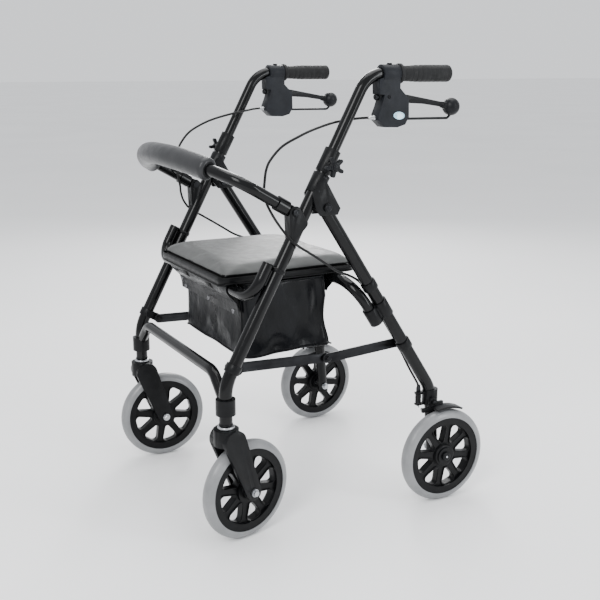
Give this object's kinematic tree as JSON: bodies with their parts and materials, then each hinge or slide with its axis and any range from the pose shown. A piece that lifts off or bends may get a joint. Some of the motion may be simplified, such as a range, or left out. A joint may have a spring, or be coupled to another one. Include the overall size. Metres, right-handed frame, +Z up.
{
  "type": "rollator walker",
  "caption": "Folding wheeled walker with swivelling front casters, padded lifting seat, hanging bag, foam backrest bar, height-adjustable handles and loop brake levers.",
  "frame": {"origin": "middle of the underside of the bounding box, on the floor", "axes": "+Z up, -Y is the walking direction, +X is the left side of a person walking behind it"},
  "size_m": [0.5838, 0.636, 0.904],
  "materials": {
    "black_tube": "gloss powder coat",
    "black_fitting": "satin moulded",
    "dark_bolt": "blackened steel",
    "bright_steel": "zinc plated",
    "rim_plastic": "satin moulded",
    "grey_tyre": "smooth, semi gloss",
    "grip_rubber": "matt",
    "housing_plastic": "satin moulded",
    "lever_plastic": "satin",
    "knob_plastic": "satin",
    "cable_sheath": "satin",
    "foam": "satin foam skin",
    "seat_vinyl": "smooth vinyl",
    "board_plastic": "satin",
    "bag_vinyl": "gloss coated cloth"
  },
  "bodies": {
    "front_frame": {"left_front_leg": "black_tube", "right_front_leg": "black_tube", "front_crossbar": "black_tube", "seat_front_tube": "black_tube", "left_hinge_bracket": "black_fitting", "right_hinge_bracket": "black_fitting", "hinge_bolts": "dark_bolt", "left_backrest_bracket": "black_fitting", "right_backrest_bracket": "black_fitting", "backrest_bolts": "dark_bolt", "left_height_collar": "black_fitting", "right_height_collar": "black_fitting", "caster_collars": "black_fitting", "front_brace_lugs": "black_fitting", "bag": "bag_vinyl", "left_brake_cable": "cable_sheath", "right_brake_cable": "cable_sheath"},
    "rear_frame": {"left_rear_leg": "black_tube", "right_rear_leg": "black_tube", "rear_axles": "bright_steel", "seat_rear_tube": "black_tube", "rear_seat_brackets": "black_fitting", "stop_collars": "black_fitting", "brake_brackets": "black_fitting", "brake_springs": "dark_bolt", "rear_brace_lugs": "black_fitting"},
    "front_brace": {"front_braces": "dark_bolt"},
    "rear_brace": {"rear_braces": "dark_bolt"},
    "backrest": {"backrest_bar": "black_tube", "backrest_foam": "foam"},
    "seat": {"seat_board": "board_plastic", "seat_cushion": "seat_vinyl"},
    "left_caster": {"left_caster_stem": "bright_steel", "left_caster_fork": "black_fitting", "left_front_axle": "bright_steel"},
    "left_front_wheel": {"left_front_rim": "rim_plastic", "left_front_tyre": "grey_tyre"},
    "left_rear_wheel": {"left_rear_rim": "rim_plastic", "left_rear_tyre": "grey_tyre"},
    "left_handle": {"left_handle_tube": "black_tube", "left_grip": "grip_rubber", "left_brake_housing": "housing_plastic"},
    "left_lever": {"left_brake_lever": "lever_plastic", "left_lever_knob": "knob_plastic"},
    "left_shoe": {"left_brake_shoe": "black_fitting"},
    "left_knob": {"left_star_knob": "knob_plastic"},
    "right_caster": {"right_caster_stem": "bright_steel", "right_caster_fork": "black_fitting", "right_front_axle": "bright_steel"},
    "right_front_wheel": {"right_front_rim": "rim_plastic", "right_front_tyre": "grey_tyre"},
    "right_rear_wheel": {"right_rear_rim": "rim_plastic", "right_rear_tyre": "grey_tyre"},
    "right_handle": {"right_handle_tube": "black_tube", "right_grip": "grip_rubber", "right_brake_housing": "housing_plastic"},
    "right_lever": {"right_brake_lever": "lever_plastic", "right_lever_knob": "knob_plastic"},
    "right_shoe": {"right_brake_shoe": "black_fitting"},
    "right_knob": {"right_star_knob": "knob_plastic"}
  },
  "joints": [
    {"name": "fold", "type": "hinge", "parent": "front_frame", "child": "rear_frame", "pos_m": [0, -0.0542, 0.642], "axis": [-1, 0, 0], "range_deg": [0, 20], "deforming": ["bag"]},
    {"name": "front_brace_fold", "type": "hinge", "parent": "front_frame", "child": "front_brace", "pos_m": [0.208, -0.228, 0.341], "axis": [1, 0, 0], "range_deg": [0, 33]},
    {"name": "rear_brace_fold", "type": "hinge", "parent": "rear_frame", "child": "rear_brace", "pos_m": [0.214, 0.138, 0.343], "axis": [-1, 0, 0], "range_deg": [0, 45]},
    {"name": "backrest_tilt", "type": "hinge", "parent": "front_frame", "child": "backrest", "pos_m": [0, -0.1205, 0.6369], "axis": [-1, 0, 0], "range_deg": [0, 55]},
    {"name": "seat_lift", "type": "hinge", "parent": "front_frame", "child": "seat", "pos_m": [0, -0.2046, 0.48], "axis": [1, 0, 0], "range_deg": [0, 75]},
    {"name": "left_caster_swivel", "type": "hinge", "parent": "front_frame", "child": "left_caster", "pos_m": [0.238, -0.262, 0.27], "axis": [0, 0, 1], "continuous": true},
    {"name": "left_front_wheel_spin", "type": "hinge", "parent": "left_caster", "child": "left_front_wheel", "pos_m": [0.22788, -0.21815, 0.1], "axis": [0.9744, 0.225, 0], "continuous": true},
    {"name": "left_rear_wheel_spin", "type": "hinge", "parent": "rear_frame", "child": "left_rear_wheel", "pos_m": [0.2735, 0.219, 0.1], "axis": [1, 0, 0], "continuous": true},
    {"name": "left_handle_height", "type": "slide", "parent": "front_frame", "child": "left_handle", "axis": [0, 0.4726, 0.8813], "range_m": [-0.08, 0.06], "deforming": ["left_brake_cable"]},
    {"name": "left_lever_squeeze", "type": "hinge", "parent": "left_handle", "child": "left_lever", "pos_m": [0.238, 0.1, 0.838], "axis": [1, 0, 0], "range_deg": [0, 11], "stiffness_Nm_per_rad": 2, "springref_deg": -5.73},
    {"name": "left_shoe_press", "type": "hinge", "parent": "rear_frame", "child": "left_shoe", "pos_m": [0.26, 0.2, 0.216], "axis": [-1, 0, 0], "range_deg": [0, 4.5]},
    {"name": "left_knob_turn", "type": "hinge", "parent": "front_frame", "child": "left_knob", "pos_m": [0.265, -0.04841, 0.71835], "axis": [1, 0, 0], "continuous": true},
    {"name": "right_caster_swivel", "type": "hinge", "parent": "front_frame", "child": "right_caster", "pos_m": [-0.238, -0.262, 0.27], "axis": [0, 0, 1], "continuous": true},
    {"name": "right_front_wheel_spin", "type": "hinge", "parent": "right_caster", "child": "right_front_wheel", "pos_m": [-0.23643, -0.21703, 0.1], "axis": [0.9994, -0.0349, 0], "continuous": true},
    {"name": "right_rear_wheel_spin", "type": "hinge", "parent": "rear_frame", "child": "right_rear_wheel", "pos_m": [-0.2735, 0.219, 0.1], "axis": [1, 0, 0], "continuous": true},
    {"name": "right_handle_height", "type": "slide", "parent": "front_frame", "child": "right_handle", "axis": [0, 0.4726, 0.8813], "range_m": [-0.08, 0.06], "deforming": ["right_brake_cable"]},
    {"name": "right_lever_squeeze", "type": "hinge", "parent": "right_handle", "child": "right_lever", "pos_m": [-0.238, 0.1, 0.838], "axis": [1, 0, 0], "range_deg": [0, 11], "stiffness_Nm_per_rad": 2, "springref_deg": -5.73},
    {"name": "right_shoe_press", "type": "hinge", "parent": "rear_frame", "child": "right_shoe", "pos_m": [-0.26, 0.2, 0.216], "axis": [-1, 0, 0], "range_deg": [0, 4.5]},
    {"name": "right_knob_turn", "type": "hinge", "parent": "front_frame", "child": "right_knob", "pos_m": [-0.265, -0.04841, 0.71835], "axis": [1, 0, 0], "continuous": true}
  ],
  "couplings": [
    {"joint": "front_brace_fold", "follows": "fold", "ratio": 1.6382},
    {"joint": "rear_brace_fold", "follows": "fold", "ratio": 2.2337},
    {"joint": "left_shoe_press", "follows": "left_lever_squeeze", "ratio": 0.4},
    {"joint": "right_shoe_press", "follows": "right_lever_squeeze", "ratio": 0.4}
  ]
}
